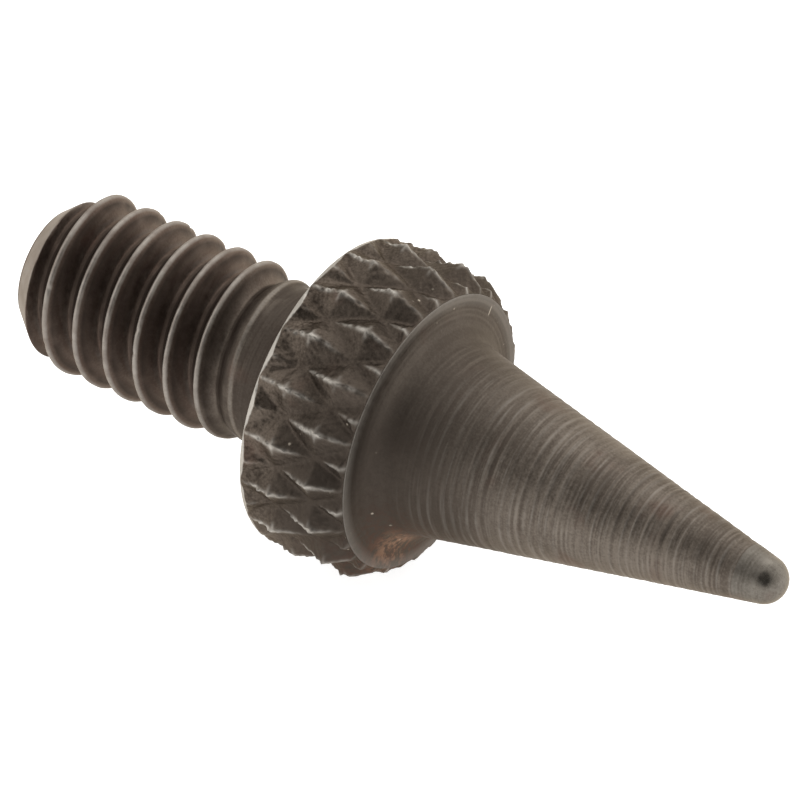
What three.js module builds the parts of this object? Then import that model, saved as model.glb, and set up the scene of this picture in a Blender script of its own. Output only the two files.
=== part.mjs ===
// Tapered contact point for a dial indicator, in the three pieces that it comes apart into:
// a turned steel body with a right-hand #4-48 thread and a long cone, a diamond-knurled ring
// that seats on the cone-backed flange of that body, and a hard rounded nose set in its end.
//
// Millimetres. +X runs along the axis towards the nose and +Z is up. The origin is the centre
// of the knurled ring's rear face, which is the face that seats against the indicator spindle.
// Angles go round the axis by the right-hand rule about +X, and start at +Y.

import * as THREE from 'three';

// Thread: 48 turns to the inch, with the 60 degree profile's flats as fractions of the pitch.
const THREAD_PITCH = 25.4 / 48;
const THREAD_CREST_RADIUS = 1.32;
const THREAD_DEPTH = 0.6134 * THREAD_PITCH;
const CREST_FLAT = THREAD_PITCH / 8;
const ROOT_FLAT = THREAD_PITCH / 6;
const THREAD_PHASE_X = -0.172;
const THREAD_END_X = -4.92;
const END_FACE_RADIUS = 0.88;
const END_CHAMFER_SLOPE = 0.85;
const RUN_OUT_START_X = -1.75;
const RUN_OUT_END_X = -0.85;
const NECK_RADIUS = 1.18;

// Knurled ring: 18 pyramids round each row, in staggered rows half a diamond apart. They fade out
// into a plain round rim at the ring's rear face.
const KNURL_TEETH = 18;
const KNURL_CREST_RADIUS = 2.4;
const KNURL_DEPTH = 0.27;
const KNURL_HALF_LENGTH = 0.705;
const KNURL_STEPS = 3;
const KNURL_FIRST_CREST_STEP = 2;
const KNURL_PHASE = THREE.MathUtils.degToRad(3.4);
const REAR_RIM_RADIUS = 2.31;
const RING_FRONT_X = 1.61;
const RING_CHAMFER_X = 1.2;
const RING_CHAMFER_SLOPE = 0.68;
const FIT_CLEARANCE = 0.02;

// Flange and seat of the body, inside the ring. The flange's back is a 45 degree cone.
const SEAT_RADIUS = 1.45;
const FLANGE_RADIUS = 2.07;
const FLANGE_FACE_X = 1.64;
const FLANGE_LAND = 0.03;

// Cone: its radius is CONE_SLOPE times the distance to the point where its sides would meet.
const CONE_SLOPE = 0.198;
const CONE_APEX_X = 9.212;
const FILLET_RADIUS = 0.45;
const NOSE_RADIUS = 0.357;
const NOSE_SEAM_X = 7.12;

// Shank of the nose insert, in its blind bore.
const SHANK_RADIUS = 0.2;
const SHANK_BACK_X = 6.2;

const BODY_COLUMNS = 40;
const NOSE_COLUMNS = 32;
const FILLET_STEPS = 6;
const NOSE_STEPS = 7;
const SHORTEST_EDGE = 0.03;

const coneAngle = Math.atan(CONE_SLOPE);
const coneRadius = (x) => CONE_SLOPE * (CONE_APEX_X - x);

function around(x, radius, angle) {
  return new THREE.Vector3(x, radius * Math.cos(angle), radius * Math.sin(angle));
}

function geometryFrom(points, triangles) {
  const geometry = new THREE.BufferGeometry().setFromPoints(points);
  geometry.setIndex(triangles);
  geometry.computeVertexNormals();
  return geometry;
}

// Points of an arc about (centreX, centreRadius) in the half plane through the axis.
function arc(centreX, centreRadius, radius, startAngle, endAngle, steps) {
  const curve = new THREE.EllipseCurve(
    centreX, centreRadius, radius, radius, startAngle, endAngle, endAngle < startAngle);
  return curve.getPoints(steps);
}

// --- Threaded body ---------------------------------------------------------------------------

// One turn of thread has four helical lines, which bound its crest flat and its root flat.
const THREAD_LINES = [
  { offset: -CREST_FLAT / 2, depth: 0 },
  { offset: CREST_FLAT / 2, depth: 0 },
  { offset: (THREAD_PITCH - ROOT_FLAT) / 2, depth: THREAD_DEPTH },
  { offset: (THREAD_PITCH + ROOT_FLAT) / 2, depth: THREAD_DEPTH },
];

// The thread fades into the plain neck at one end and is cut by a chamfer at the other.
function threadRadius(x, depth) {
  const fade = THREE.MathUtils.clamp((x - RUN_OUT_START_X) / (RUN_OUT_END_X - RUN_OUT_START_X), 0, 1);
  const full = THREE.MathUtils.lerp(THREAD_CREST_RADIUS - depth, NECK_RADIUS, fade);
  return Math.min(full, END_FACE_RADIUS + END_CHAMFER_SLOPE * (x - THREAD_END_X));
}

// The helical lines that cross one column between the end face and the neck, each with its key.
function threadColumn(angle) {
  const crestX = THREAD_PHASE_X + THREAD_PITCH * angle / (2 * Math.PI);
  const turns = Math.ceil((crestX - THREAD_END_X) / THREAD_PITCH) + 1;
  const column = [{ key: -Infinity, x: THREAD_END_X, radius: END_FACE_RADIUS }];
  for (let turn = -turns; turn <= 0; turn += 1) {
    THREAD_LINES.forEach(({ offset, depth }, line) => {
      const x = crestX + turn * THREAD_PITCH + offset;
      if (x > THREAD_END_X + SHORTEST_EDGE && x < RUN_OUT_END_X - SHORTEST_EDGE) {
        column.push({ key: turn * THREAD_LINES.length + line, x, radius: threadRadius(x, depth) });
      }
    });
  }
  return column;
}

// The turned outline from the neck to the bottom of the nose insert's bore.
function turnedOutline() {
  const coneBackX = FLANGE_FACE_X - FLANGE_LAND - (FLANGE_RADIUS - SEAT_RADIUS);
  const filletX = FLANGE_FACE_X + FILLET_RADIUS;
  const filletCentreRadius = coneRadius(filletX) + FILLET_RADIUS / Math.cos(coneAngle);
  const filletEnd = 1.5 * Math.PI - coneAngle;
  const boreRadius = SHANK_RADIUS + FIT_CLEARANCE;
  const coneEndX = NOSE_SEAM_X - FIT_CLEARANCE;
  return [
    new THREE.Vector2(RUN_OUT_END_X, NECK_RADIUS),
    new THREE.Vector2(FIT_CLEARANCE, NECK_RADIUS),
    new THREE.Vector2(FIT_CLEARANCE, SEAT_RADIUS),
    new THREE.Vector2(coneBackX, SEAT_RADIUS),
    new THREE.Vector2(FLANGE_FACE_X - FLANGE_LAND, FLANGE_RADIUS),
    new THREE.Vector2(FLANGE_FACE_X, FLANGE_RADIUS),
    ...arc(filletX, filletCentreRadius, FILLET_RADIUS, Math.PI, filletEnd, FILLET_STEPS),
    new THREE.Vector2(coneEndX, coneRadius(coneEndX)),
    new THREE.Vector2(coneEndX, boreRadius),
    new THREE.Vector2(SHANK_BACK_X - FIT_CLEARANCE, boreRadius),
  ];
}

// Joins two neighbouring columns with triangles. Points with the same key lie on one line.
function joinColumns(left, right, keyShift, triangles) {
  let i = 0;
  let k = 0;
  while (i < left.length - 1 || k < right.length - 1) {
    const nextLeft = i < left.length - 1 ? left[i + 1].key : Infinity;
    const nextRight = k < right.length - 1 ? right[k + 1].key + keyShift(right[k + 1].key) : Infinity;
    if (nextRight <= nextLeft) {
      triangles.push(left[i].index, right[k].index, right[k + 1].index);
      k += 1;
    }
    if (nextLeft <= nextRight) {
      triangles.push(left[i].index, right[k].index, left[i + 1].index);
      i += 1;
    }
  }
}

function threadedBody() {
  const outline = turnedOutline();
  const firstKey = 1000;
  const points = [];
  const columns = [];
  for (let column = 0; column < BODY_COLUMNS; column += 1) {
    const angle = 2 * Math.PI * column / BODY_COLUMNS;
    const turned = outline.map((point, step) => ({ key: firstKey + step, x: point.x, radius: point.y }));
    const line = [...threadColumn(angle), ...turned];
    for (const point of line) {
      point.index = points.length;
      points.push(around(point.x, point.radius, angle));
    }
    columns.push(line);
  }
  // After a full turn each helical line has become the next turn's line, so its key drops by one turn.
  const sameKeys = () => 0;
  const oneTurnOn = (key) => (key < firstKey ? -THREAD_LINES.length : 0);
  const triangles = [];
  const endFace = points.push(new THREE.Vector3(THREAD_END_X, 0, 0)) - 1;
  const boreEnd = points.push(new THREE.Vector3(SHANK_BACK_X - FIT_CLEARANCE, 0, 0)) - 1;
  columns.forEach((left, column) => {
    const right = columns[(column + 1) % BODY_COLUMNS];
    const closing = column === BODY_COLUMNS - 1;
    joinColumns(left, right, closing ? oneTurnOn : sameKeys, triangles);
    triangles.push(endFace, right[0].index, left[0].index);
    triangles.push(left[left.length - 1].index, right[right.length - 1].index, boreEnd);
  });
  return geometryFrom(points, triangles);
}

// --- Knurled ring ----------------------------------------------------------------------------

// Height of the pyramids at a grid step, from 0 in the grooves to 1 at a crest. Crests lie where
// both steps are whole half-diamonds with an even sum, and each pyramid falls away to four grooves.
function knurlHeight(alongStep, roundStep) {
  const along = THREE.MathUtils.euclideanModulo(alongStep, 2 * KNURL_STEPS);
  const round = THREE.MathUtils.euclideanModulo(roundStep, 2 * KNURL_STEPS);
  const toRow = Math.min(along, 2 * KNURL_STEPS - along);
  const toColumn = Math.min(round, 2 * KNURL_STEPS - round);
  return Math.abs(1 - (toRow + toColumn) / KNURL_STEPS);
}

function ringSection(column, angle) {
  const rowStep = KNURL_HALF_LENGTH / KNURL_STEPS;
  const rows = Math.ceil(RING_FRONT_X / rowStep);
  const section = [];
  section.push(around(0, REAR_RIM_RADIUS, angle));
  for (let row = 1; row <= rows; row += 1) {
    const x = Math.min(row * rowStep, RING_FRONT_X);
    const height = knurlHeight(row - KNURL_FIRST_CREST_STEP, column);
    const knurled = KNURL_CREST_RADIUS - KNURL_DEPTH * (1 - height);
    const chamfered = KNURL_CREST_RADIUS - RING_CHAMFER_SLOPE * (x - RING_CHAMFER_X);
    section.push(around(x, Math.min(knurled, chamfered), angle));
  }
  const boreRadius = SEAT_RADIUS + FIT_CLEARANCE;
  const sinkBackX = FLANGE_FACE_X - FLANGE_LAND - (FLANGE_RADIUS - SEAT_RADIUS);
  const sinkClearance = FIT_CLEARANCE * (Math.SQRT2 - 1);
  const frontRadius = boreRadius + (RING_FRONT_X - sinkBackX) + sinkClearance;
  section.push(around(RING_FRONT_X, frontRadius, angle));
  section.push(around(sinkBackX - sinkClearance, boreRadius, angle));
  section.push(around(0, boreRadius, angle));
  return { section, knurlRows: rows };
}

function knurledRing() {
  const columnCount = KNURL_TEETH * 2 * KNURL_STEPS;
  const columns = [];
  let knurlRows = 0;
  for (let column = 0; column < columnCount; column += 1) {
    const ring = ringSection(column, KNURL_PHASE + 2 * Math.PI * column / columnCount);
    columns.push(ring.section);
    knurlRows = ring.knurlRows;
  }
  const rowCount = columns[0].length;
  const corner = (row, column) => (column % columnCount) * rowCount + (row % rowCount);
  const triangles = [];
  for (let column = 0; column < columnCount; column += 1) {
    for (let row = 0; row < rowCount; row += 1) {
      const a = corner(row, column);
      const b = corner(row, column + 1);
      const c = corner(row + 1, column + 1);
      const d = corner(row + 1, column);
      // Each cell is split along the groove that crosses its block of steps.
      const blockAlong = Math.floor((row - KNURL_FIRST_CREST_STEP) / KNURL_STEPS);
      const blockRound = Math.floor(column / KNURL_STEPS);
      const grooveFalls = row < knurlRows && (blockAlong + blockRound) % 2 === 0;
      if (grooveFalls) {
        triangles.push(a, b, d, b, c, d);
      } else {
        triangles.push(a, b, c, a, c, d);
      }
    }
  }
  return geometryFrom(columns.flat(), triangles);
}

// --- Nose insert -----------------------------------------------------------------------------

// A shank, a short length of the cone and a ball end. The lathe turns about Y, so it is laid on X.
function noseInsert() {
  const centreX = CONE_APEX_X - NOSE_RADIUS / Math.sin(coneAngle);
  const ball = arc(centreX, 0, NOSE_RADIUS, Math.PI / 2 - coneAngle, 0, NOSE_STEPS);
  const outline = [
    new THREE.Vector2(SHANK_BACK_X, 0),
    new THREE.Vector2(SHANK_BACK_X, SHANK_RADIUS),
    new THREE.Vector2(NOSE_SEAM_X, SHANK_RADIUS),
    new THREE.Vector2(NOSE_SEAM_X, coneRadius(NOSE_SEAM_X)),
    ...ball.slice(0, -1),
    new THREE.Vector2(centreX + NOSE_RADIUS, 0),
  ];
  const turned = outline.map((point) => new THREE.Vector2(point.y, point.x));
  return new THREE.LatheGeometry(turned, NOSE_COLUMNS).rotateZ(-Math.PI / 2);
}

// --- Assembly --------------------------------------------------------------------------------

function steel(color, roughness) {
  return new THREE.MeshStandardMaterial({ color, roughness, metalness: 0.9 });
}

function piece(name, geometry, material) {
  const mesh = new THREE.Mesh(geometry, material);
  mesh.name = name;
  return mesh;
}

const contactPoint = new THREE.Group();
contactPoint.add(piece('threaded_point_body', threadedBody(), steel(0x4a423c, 0.45)));
contactPoint.add(piece('knurled_collar', knurledRing(), steel(0x3e3732, 0.4)));
contactPoint.add(piece('nose_insert', noseInsert(), steel(0x6a675f, 0.3)));

export default contactPoint;
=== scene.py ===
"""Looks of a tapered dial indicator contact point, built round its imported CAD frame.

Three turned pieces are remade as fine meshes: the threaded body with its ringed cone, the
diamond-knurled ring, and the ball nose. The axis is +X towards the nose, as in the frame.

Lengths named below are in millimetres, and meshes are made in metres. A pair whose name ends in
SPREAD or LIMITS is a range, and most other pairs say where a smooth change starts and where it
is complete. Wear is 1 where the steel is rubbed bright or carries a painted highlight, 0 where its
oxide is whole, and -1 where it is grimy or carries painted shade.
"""

import math
from typing import NamedTuple

import bpy
import numpy as np
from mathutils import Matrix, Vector


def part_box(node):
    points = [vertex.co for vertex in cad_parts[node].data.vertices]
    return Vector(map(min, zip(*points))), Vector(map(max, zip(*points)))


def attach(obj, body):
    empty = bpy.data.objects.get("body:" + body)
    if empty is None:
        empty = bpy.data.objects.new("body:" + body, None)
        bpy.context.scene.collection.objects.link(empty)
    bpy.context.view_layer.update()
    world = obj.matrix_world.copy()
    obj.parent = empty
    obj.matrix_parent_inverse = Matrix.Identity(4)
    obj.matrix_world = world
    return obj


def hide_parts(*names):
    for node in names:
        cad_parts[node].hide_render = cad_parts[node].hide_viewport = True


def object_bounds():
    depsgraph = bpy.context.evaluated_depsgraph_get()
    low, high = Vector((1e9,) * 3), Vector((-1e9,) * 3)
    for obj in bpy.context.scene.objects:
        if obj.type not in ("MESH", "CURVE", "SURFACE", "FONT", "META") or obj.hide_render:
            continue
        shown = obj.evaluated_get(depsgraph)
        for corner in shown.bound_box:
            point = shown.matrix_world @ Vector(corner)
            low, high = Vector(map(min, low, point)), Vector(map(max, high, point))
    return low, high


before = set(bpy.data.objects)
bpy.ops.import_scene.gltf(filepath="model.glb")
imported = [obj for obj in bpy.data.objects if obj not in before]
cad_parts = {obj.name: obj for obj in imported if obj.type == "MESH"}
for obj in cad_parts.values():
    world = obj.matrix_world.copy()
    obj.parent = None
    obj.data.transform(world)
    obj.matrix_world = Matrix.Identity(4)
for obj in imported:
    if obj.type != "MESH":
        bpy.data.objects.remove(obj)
cad_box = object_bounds()

MM = 0.001
INCH = 25.4
TURN = 2 * math.pi

# Places read from the frame.
body_box = [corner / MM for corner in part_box("threaded_point_body")]
ring_box = [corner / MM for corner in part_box("knurled_collar")]
nose_box = [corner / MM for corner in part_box("nose_insert")]
THREAD_END_X = body_box[0].x
CONE_END_X = body_box[1].x
SEAT_X = ring_box[0].x
SHANK_BACK_X = nose_box[0].x
NOSE_TIP_X = nose_box[1].x

# Thread.
THREAD_PITCH = INCH / 48
THREAD_CREST_RADIUS = 1.32
THREAD_DEPTH = 0.6134 * THREAD_PITCH
CREST_FLAT = 0.1 * THREAD_PITCH
FLANK_SLOPE = math.sqrt(3)
CREST_ROUNDING = 0.012
ROOT_ROUNDING = 0.02
THREAD_PHASE_X = -0.172
END_FACE_RADIUS = 0.88
END_CHAMFER_SLOPE = 0.85
RUN_OUT_START_X = -1.75
RUN_OUT_END_X = -0.85
NECK_RADIUS = 1.18

# Wear of the thread, by distance from a crest, with painted shade on its flanks, roots and neck.
# The middle of each flank that faces the nose is painted lighter, with less painted shade.
CREST_WEAR = 0.6
CREST_BAND = 0.013
RUN_OUT_DULLING = 0.8
FLANK_SHADE = 0.86
FLANK_SHADE_EDGE = 0.03
LIGHTENED_FLANK = (0.06, 0.19)
LIGHTENED_FLANK_SHADE = -0.12
ROOT = (0.2, 0.23)
ROOT_SHADE = 0.85
NECK_SHADE = 0.68
SCUFF_SIZE = 0.35
SCUFF_MEAN = 0.9
SCUFF_SWING = 0.15
SCUFF_LIMITS = (0.6, 1)

# Bare end: the end face, and the end chamfer where it has cut into the thread. Their brightness is
# partly wear and partly a painted highlight, standing for the chamfer's reflection of bright
# surroundings.
END_WEAR_AND_HIGHLIGHT = 0.42
END_FACE_RINGS = 16
END_FACE_INNER_RADIUS = 0.05
END_RING_SWING = 0.1
CHAMFER_CUT = (-0.03, 0.01)
CHAMFER_REACH = (0.5, 0.3)
END_CORNER = (0.015, 0.035)

# Nicks and waviness of the thread.
NICKS = 150
NICK_SIZE = 0.035
NICK_DEPTH = 0.02
NICK_SIZE_SPREAD = (0.5, 1.5)
NICK_DEPTH_SPREAD = (0.4, 1.6)
NICKED_HEIGHT = (-0.07, -0.02)
WAVER_SIZE = 0.3
WAVER_DEPTH = 0.001

# Body in front of the thread.
SHOULDER_X = SEAT_X + 0.02
SEAT_RADIUS = 1.45
FLANGE_RADIUS = 2.07
FLANGE_FACE_X = 1.64
FLANGE_LAND_X = FLANGE_FACE_X - 0.03
FLANGE_BACK_X = FLANGE_LAND_X - (FLANGE_RADIUS - SEAT_RADIUS)
FLANGE_EDGE = 0.012
CONE_SLOPE = 0.198
CONE_ANGLE = math.atan(CONE_SLOPE)
CONE_APEX_X = 9.212
FILLET_RADIUS = 0.45
BORE_RADIUS = 0.22
BORE_END_X = 6.18
RIM_CORNER_INSET = 0.008
RIM_CORNER_WEAR = 0.45
RIM_CORNER_BAND = 0.013


class ToolPass(NamedTuple):
    """One pass of the turning tool: how far apart, how deep and how strong in tone its rings are."""

    seed: int
    feed: float
    depth: float
    tone: float


class Breaks(NamedTuple):
    """A pattern that lets a pass come and go over the surface."""

    seed: int
    size: float


WIDE_PASS = ToolPass(7, 0.172, 0.0042, 0.085)
MIDDLE_PASS = ToolPass(10, 0.11, 0.0016, 0.07)
FINE_PASS = ToolPass(8, 0.06, 0.0011, 0.06)
NOSE_PASS = ToolPass(9, 0.06, 0.0011, 0.1)
WIDE_BREAKS = Breaks(11, 1.0)
MIDDLE_BREAKS = Breaks(12, 0.7)
FINE_BREAKS = Breaks(13, 0.5)
BREAK_MEAN = 0.9
BREAK_SWING = 0.75
BREAK_LIMITS = (0, 2)
STEADY_CUT = 0.6
NECK_TONE = 0.04
FEED_SPREAD = (0.6, 1.4)
DEPTH_SPREAD = (0.4, 1.5)
TONE_SPREAD = (0.3, 1)
RING_WANDER = 0.1
SPARE_RINGS = 6
SMOOTH_FILLET = 0.12
LINES_FADE_IN = (0.15, 1.55)

# Knurled ring.
KNURL_TEETH = 18
KNURL_TOOTH_ANGLE = TURN / KNURL_TEETH
KNURL_CREST_RADIUS = 2.4
KNURL_DEPTH = 0.27
KNURL_HALF_LENGTH = 0.705
KNURL_HALF_WIDTH = KNURL_CREST_RADIUS * KNURL_TOOTH_ANGLE / 2
KNURL_FIRST_CREST_X = 0.5
KNURL_PHASE = math.radians(3.4)
KNURL_SHALLOW_TO_X = 0.45
KNURL_REAR_DEPTH = 0.45
KNURL_DROP = 0.2
KNURL_DROP_ROUNDING = 0.05
CREST_SOFTNESS_ALONG = 0.002
CREST_SOFTNESS_ROUND = 0.005
PIT_SOFTNESS = 0.012
RING_BORE_RADIUS = 1.47
RING_FRONT_X = FLANGE_FACE_X - 0.01
COUNTERSINK_RADIUS = FLANGE_RADIUS + 0.003
COUNTERSINK_SLOPE = (COUNTERSINK_RADIUS - RING_BORE_RADIUS) / (RING_FRONT_X - FLANGE_BACK_X)
THINNEST_WALL = 0.03
RING_CHAMFER_X = 1.2
RING_CHAMFER_SLOPE = 0.6
RING_CHAMFER_ROUNDING = 0.012
RING_LIP_RADIUS = 2.074
RING_LIP_SLOPE = 3.0
RING_LIP_ROUNDING = 0.008
REAR_RIM_RADIUS = 2.285
REAR_RIM_SLOPE = 0.45
REAR_RIM_ROUNDING = 0.006
REAR_CORNER_DROP = 0.01
REAR_FACE_RADIUS = REAR_RIM_RADIUS - 0.03

# Wear of the knurl, partly painted highlights on its ridges and tips, with painted shade in its
# grooves and pits. On a pyramid, 0 is its tip and 1 is the bottom of the pit beside it.
KNURL_WEAR_AND_HIGHLIGHT = 1.15
RIDGE_WIDTH = 0.018
RIDGE_FLARE = 0.02
REARWARD_RIDGE = (1, 0.25)
FORWARD_RIDGE = (0.75, 0.25)
FORWARD_TIP = (0, 0.2)
FORWARD_DULLING = 0.5
ARM_WIDTH = 0.026
ARM_REACH = (0.45, 0.05)
ARM_WEAR_AND_HIGHLIGHT = 0.5
TIP_SIZE = 0.052
UNWORN_GROOVE = (1.02, 0.9)
SHADED_GROOVE = (0.6, 1)
KNURL_GROOVE_SHADE = 0.14
PIT_SHADE = 0.3
PIT_SIZE = 0.13
# The rear rim's band is partly wear and partly a painted highlight.
RIM_WEAR_AND_HIGHLIGHT = 1.3
RIM_BAND = 0.014
RIM_SCALLOP = 0.08
RIM_EDGE = (-0.01, 0.01)
CHAMFER_WEAR = 0.1
CHAMFER_DULLING = 0.6
CHAMFER_BLEND = 0.03

# Unevenness of the knurl, as sizes of its ripples and how strong they are.
DRIFT_SIZE = 1.4
DRIFT = 0.018
TWIST_SIZE = 1.2
TWIST = 0.008
TORN_SIZE = 0.12
TORN_FACET = 0.0025
TORN_RIDGE = 0.012
ROUGH_SIZE = 0.07
ROUGH_DEPTH = 0.0015
BROAD_PATCH_SIZE = 0.5
BROAD_PATCH = 0.3
SMALL_PATCH_SIZE = 0.13
SMALL_PATCH = 0.25
PATCH_MEAN = 0.72
PATCH_LIMITS = (0.15, 1)

# Nose.
NOSE_RADIUS = 0.357
NOSE_CENTRE_X = NOSE_TIP_X - NOSE_RADIUS
SHANK_RADIUS = 0.2
SEAM = 0.001
TIP_OPENING = 0.03
NOSE_LINES_FADE_OUT = (0.1, -0.1)

# Fineness of the meshes.
BODY_COLUMNS = 240
LINES_PER_TURN = 32
RING_COLUMNS = KNURL_TEETH * 2 * 24
ROWS_PER_PYRAMID = 36
NOSE_COLUMNS = 128
RIM_STEP = 0.01
NECK_STEP = 0.016
LAND_STEP = 0.014
CONE_STEP = 0.0125
SHOULDER_STEP = 0.05
END_STEP = 0.06
REAR_FACE_STEP = 0.08
FLANGE_BACK_STEP = 0.15
HIDDEN_STEP = 0.3
EDGE_STEPS = 4
FILLET_STEPS = 32
BALL_STEPS = 30
SHARP_ANGLE = math.radians(38)
KNURL_SHARP_ANGLE = math.radians(65)

# Distances that tell one surface from the next.
HAIR = 0.001
TOLERANCE = 0.01


def cone_radius(x):
    return CONE_SLOPE * (CONE_APEX_X - x)


def soft_floor(value, rounding):
    """value where it is well above 0, and 0 where it is well below, with a rounded corner."""
    return 0.5 * (value + np.sqrt(value * value + rounding * rounding))


def soft_min(a, b, rounding):
    return a - soft_floor(a - b, rounding)


def rise(value, start, end):
    """0 on start's side, 1 past end, and smooth between. It falls along value if end is below start."""
    t = np.clip((value - start) / (end - start), 0, 1)
    return t * t * (3 - 2 * t)


def bell(distance, width):
    """1 at no distance, falling smoothly to nearly 0 at twice the width."""
    return np.exp(-((distance / width) ** 2))


class Ripple:
    """A smooth random surface over points in millimetres, the sum of seeded plane waves."""

    def __init__(self, seed, size, waves=24):
        random = np.random.default_rng(seed)
        direction = random.normal(size=(waves, 3))
        direction /= np.linalg.norm(direction, axis=1)[:, None]
        self.wave = direction * (TURN / size) * random.uniform(0.6, 1.6, (waves, 1))
        self.phase = random.uniform(0, TURN, waves)
        self.scale = math.sqrt(2 / waves)

    def at(self, points):
        total = np.zeros(len(points))
        for wave, phase in zip(self.wave, self.phase):
            total += np.sin(points @ wave + phase)
        return total * self.scale


def around(x, radius, angle):
    """Points in millimetres at a place along the axis, a distance from it and an angle round it."""
    x, radius, angle = np.broadcast_arrays(x, radius, angle)
    return np.stack([x, radius * np.cos(angle), radius * np.sin(angle)], axis=-1).reshape(-1, 3)


def make_piece(name, node, material, points, faces, wear_and_painted_light, sharp_angle=SHARP_ANGLE):
    """A smooth-shaded mesh that rides on the part and stands for one CAD node."""
    mesh = bpy.data.meshes.new(name)
    mesh.from_pydata((points * MM).tolist(), [], faces)
    mesh.validate()
    mesh.polygons.foreach_set("use_smooth", [True] * len(mesh.polygons))
    mesh.set_sharp_from_angle(angle=sharp_angle)
    layer = mesh.attributes.new("wear_and_painted_light", "FLOAT", "POINT")
    layer.data.foreach_set("value", wear_and_painted_light.astype(np.float32))
    mesh.materials.append(material)
    mesh.update()
    piece = bpy.data.objects.new(name, mesh)
    bpy.context.scene.collection.objects.link(piece)
    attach(piece, "root")
    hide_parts(node)
    return piece


def arc(centre_x, centre_radius, radius, start, end, steps):
    angles = np.linspace(start, end, steps + 1)
    return [(centre_x + radius * math.cos(a), centre_radius + radius * math.sin(a)) for a in angles]


def line(x0, radius0, x1, radius1, step):
    """Points from one outline corner towards the next, with the second corner left out."""
    count = max(1, round(math.hypot(x1 - x0, radius1 - radius0) / step))
    parts = [i / count for i in range(count)]
    return [(x0 + (x1 - x0) * part, radius0 + (radius1 - radius0) * part) for part in parts]


# --- Threaded body -----------------------------------------------------------------------------


def thread_depth(from_crest):
    """Depth of the 60 degree thread below its crest, at a distance along the axis from a crest."""
    flank = soft_floor(FLANK_SLOPE * (from_crest - CREST_FLAT / 2), CREST_ROUNDING)
    return THREAD_DEPTH - soft_floor(THREAD_DEPTH - flank, ROOT_ROUNDING)


def thread_surface(x, from_crest, faces_back):
    """The thread's radius and wear: bright crests and end, painted shade on the flanks and roots."""
    fade = rise(x, RUN_OUT_START_X, RUN_OUT_END_X)
    radius = (THREAD_CREST_RADIUS - thread_depth(from_crest)) * (1 - fade) + NECK_RADIUS * fade
    from_end = x - THREAD_END_X
    chamfer = END_FACE_RADIUS + END_CHAMFER_SLOPE * from_end
    crest = bell(np.maximum(from_crest - CREST_FLAT / 2, 0), CREST_BAND)
    # Painted light: the middle of each flank that faces the nose is painted lighter instead of shaded.
    lightened = np.where(faces_back, 0, rise(from_crest, *LIGHTENED_FLANK))
    # Painted shade: flanks, roots and neck are darkened, and crests are kept clear.
    thread_shade = FLANK_SHADE + (LIGHTENED_FLANK_SHADE - FLANK_SHADE) * lightened
    thread_shade = thread_shade * rise(from_crest, CREST_FLAT, CREST_FLAT + FLANK_SHADE_EDGE)
    thread_shade = thread_shade + ROOT_SHADE * rise(from_crest, *ROOT)
    thread_shade = (thread_shade * (1 - fade) + NECK_SHADE * fade) * (1 - crest)
    wear_and_painted_light = CREST_WEAR * crest * (1 - RUN_OUT_DULLING * fade) - thread_shade
    # The end chamfer's bright crescent: partly wear, partly a painted highlight.
    bare_and_highlit = rise(radius - chamfer, *CHAMFER_CUT) * rise(from_end, *CHAMFER_REACH)
    bare_and_highlit = bare_and_highlit * rise(from_end, *END_CORNER)
    return soft_min(radius, chamfer, CREST_ROUNDING), wear_and_painted_light * (1 - bare_and_highlit) + END_WEAR_AND_HIGHLIGHT * bare_and_highlit


def thread_column(angle):
    """The helical lines that cross one column: keys, places along the axis, radii and wear."""
    crest_x = THREAD_PHASE_X + THREAD_PITCH * angle / TURN
    step = THREAD_PITCH / LINES_PER_TURN
    clearance = 0.6 * step
    first = math.ceil((THREAD_END_X + clearance - crest_x) / step)
    last = math.floor((RUN_OUT_END_X - clearance - crest_x) / step)
    key = np.arange(first, last + 1)
    x = crest_x + key * step
    turn_part = np.mod(key, LINES_PER_TURN) * step
    from_crest = np.minimum(turn_part, THREAD_PITCH - turn_part)
    return key, x, *thread_surface(x, from_crest, turn_part > THREAD_PITCH / 2)


def turned_outline():
    """The outline from the neck to the bottom of the nose's bore, as (x, radius) corners."""
    edge_x = FLANGE_FACE_X - FLANGE_EDGE
    edge_radius = FLANGE_RADIUS - FLANGE_EDGE
    fillet_x = FLANGE_FACE_X + FILLET_RADIUS
    fillet_radius = cone_radius(fillet_x) + FILLET_RADIUS / math.cos(CONE_ANGLE)
    fillet_end = 1.5 * math.pi - CONE_ANGLE
    outline = line(RUN_OUT_END_X, NECK_RADIUS, SHOULDER_X, NECK_RADIUS, NECK_STEP)
    outline += line(SHOULDER_X, NECK_RADIUS, SHOULDER_X, SEAT_RADIUS, SHOULDER_STEP)
    outline += line(SHOULDER_X, SEAT_RADIUS, FLANGE_BACK_X, SEAT_RADIUS, HIDDEN_STEP)
    outline += line(FLANGE_BACK_X, SEAT_RADIUS, FLANGE_LAND_X, FLANGE_RADIUS, FLANGE_BACK_STEP)
    outline += line(FLANGE_LAND_X, FLANGE_RADIUS, edge_x, FLANGE_RADIUS, LAND_STEP)
    outline += arc(edge_x, edge_radius, FLANGE_EDGE, math.pi / 2, 0, EDGE_STEPS)
    outline += arc(fillet_x, fillet_radius, FILLET_RADIUS, math.pi, fillet_end, FILLET_STEPS)
    cone_x, cone_start_radius = outline.pop()
    outline += line(cone_x, cone_start_radius, CONE_END_X, cone_radius(CONE_END_X), CONE_STEP)
    outline += line(CONE_END_X, cone_radius(CONE_END_X), CONE_END_X, BORE_RADIUS, END_STEP)
    outline += line(CONE_END_X, BORE_RADIUS, BORE_END_X, BORE_RADIUS, HIDDEN_STEP)
    outline.append((BORE_END_X, BORE_RADIUS))
    return np.array(outline)


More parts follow.
